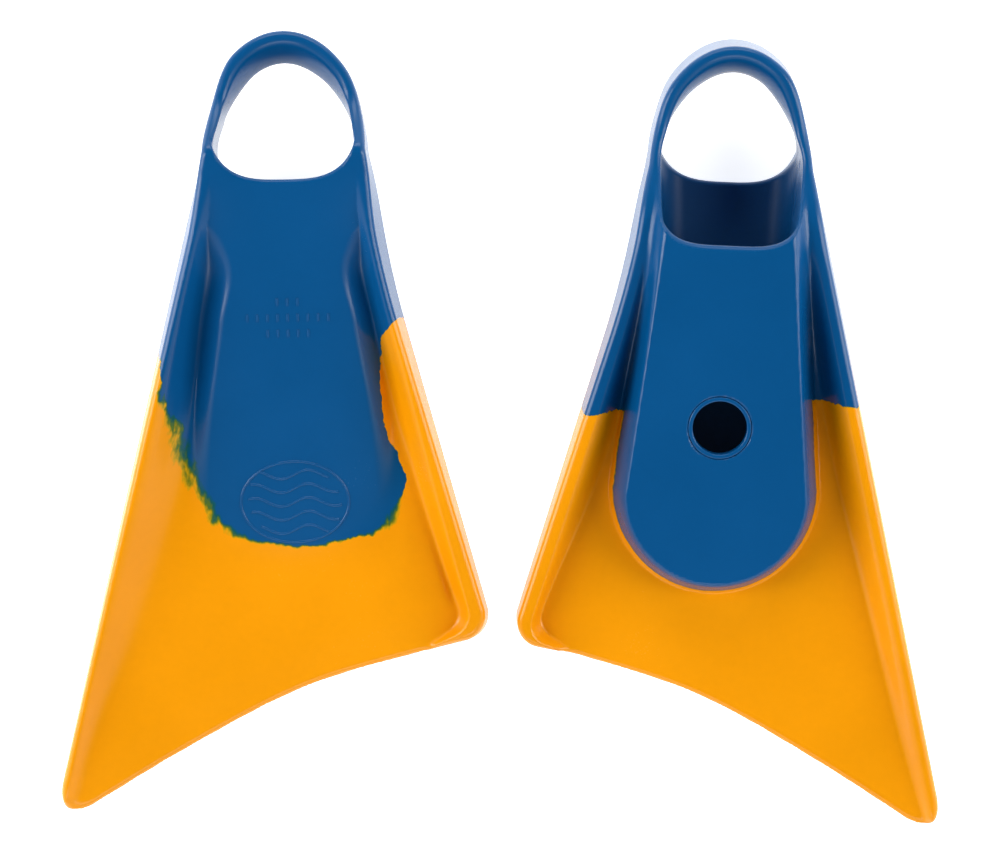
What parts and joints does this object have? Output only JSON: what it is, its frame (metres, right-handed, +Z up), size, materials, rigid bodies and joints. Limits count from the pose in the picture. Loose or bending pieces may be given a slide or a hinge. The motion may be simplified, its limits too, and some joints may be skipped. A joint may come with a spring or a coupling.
{
  "type": "pair of swim fins",
  "caption": "Short blue and yellow rubber swim fins with open heel straps and drain holes in their soles, laid side by side with opposite faces up.",
  "frame": {"origin": "the middle of the pair's footprint, on the floor", "axes": "+X from the fin on its sole towards the turned-over fin, +Y towards the heel straps, +Z up"},
  "size_m": [0.4578, 0.4096, 0.0809],
  "materials": {
    "pocket_rubber": "satin moulded",
    "blade_rubber": "satin moulded"
  },
  "bodies": {
    "fin_1_pocket": {"fin_1_long_side_strap_root": "pocket_rubber", "fin_1_short_side_strap_root": "pocket_rubber", "fin_1_instep_panel": "pocket_rubber", "fin_1_sole_panel": "pocket_rubber", "fin_1_toe_wall": "pocket_rubber", "fin_1_long_side_pocket_wall": "pocket_rubber", "fin_1_short_side_pocket_wall": "pocket_rubber", "fin_1_long_rail_root": "pocket_rubber", "fin_1_short_rail_root": "pocket_rubber", "fin_1_long_rail": "blade_rubber", "fin_1_short_rail": "blade_rubber", "fin_1_blade_web": "blade_rubber"},
    "fin_1_strap": {"fin_1_heel_strap": "pocket_rubber"},
    "fin_1_blade_end": {"fin_1_long_rail_tip": "blade_rubber", "fin_1_short_rail_tip": "blade_rubber", "fin_1_blade_tail": "blade_rubber"},
    "fin_2_pocket": {"fin_2_long_side_strap_root": "pocket_rubber", "fin_2_short_side_strap_root": "pocket_rubber", "fin_2_instep_panel": "pocket_rubber", "fin_2_sole_panel": "pocket_rubber", "fin_2_toe_wall": "pocket_rubber", "fin_2_long_side_pocket_wall": "pocket_rubber", "fin_2_short_side_pocket_wall": "pocket_rubber", "fin_2_long_rail_root": "pocket_rubber", "fin_2_short_rail_root": "pocket_rubber", "fin_2_long_rail": "blade_rubber", "fin_2_short_rail": "blade_rubber", "fin_2_blade_web": "blade_rubber"},
    "fin_2_strap": {"fin_2_heel_strap": "pocket_rubber"},
    "fin_2_blade_end": {"fin_2_long_rail_tip": "blade_rubber", "fin_2_short_rail_tip": "blade_rubber", "fin_2_blade_tail": "blade_rubber"}
  },
  "joints": [
    {"name": "fin_1_strap_swing", "type": "hinge", "parent": "fin_1_pocket", "child": "fin_1_strap", "pos_m": [-0.11051, 0.14278, 0.045], "axis": [0.9998, 0.0175, 0], "range_deg": [-25, 30], "stiffness_Nm_per_rad": 1},
    {"name": "fin_1_blade_flex", "type": "hinge", "parent": "fin_1_pocket", "child": "fin_1_blade_end", "pos_m": [-0.11443, -0.09082, 0.01879], "axis": [0.9615, 0.2728, 0.0323], "range_deg": [-20, 20], "stiffness_Nm_per_rad": 12},
    {"name": "fin_2_strap_swing", "type": "hinge", "parent": "fin_2_pocket", "child": "fin_2_strap", "pos_m": [0.11915, 0.13911, 0.03534], "axis": [-0.999, 0.0436, 0], "range_deg": [-25, 30], "stiffness_Nm_per_rad": 1},
    {"name": "fin_2_blade_flex", "type": "hinge", "parent": "fin_2_pocket", "child": "fin_2_blade_end", "pos_m": [0.11694, -0.09502, 0.01416], "axis": [-0.954, 0.2992, 0.0197], "range_deg": [-20, 20], "stiffness_Nm_per_rad": 12},
    {"name": "fin_2_lift", "type": "slide", "parent": "fin_1_pocket", "child": "fin_2_pocket", "axis": [0, 0, 1], "range_m": [0, 0.12]}
  ]
}
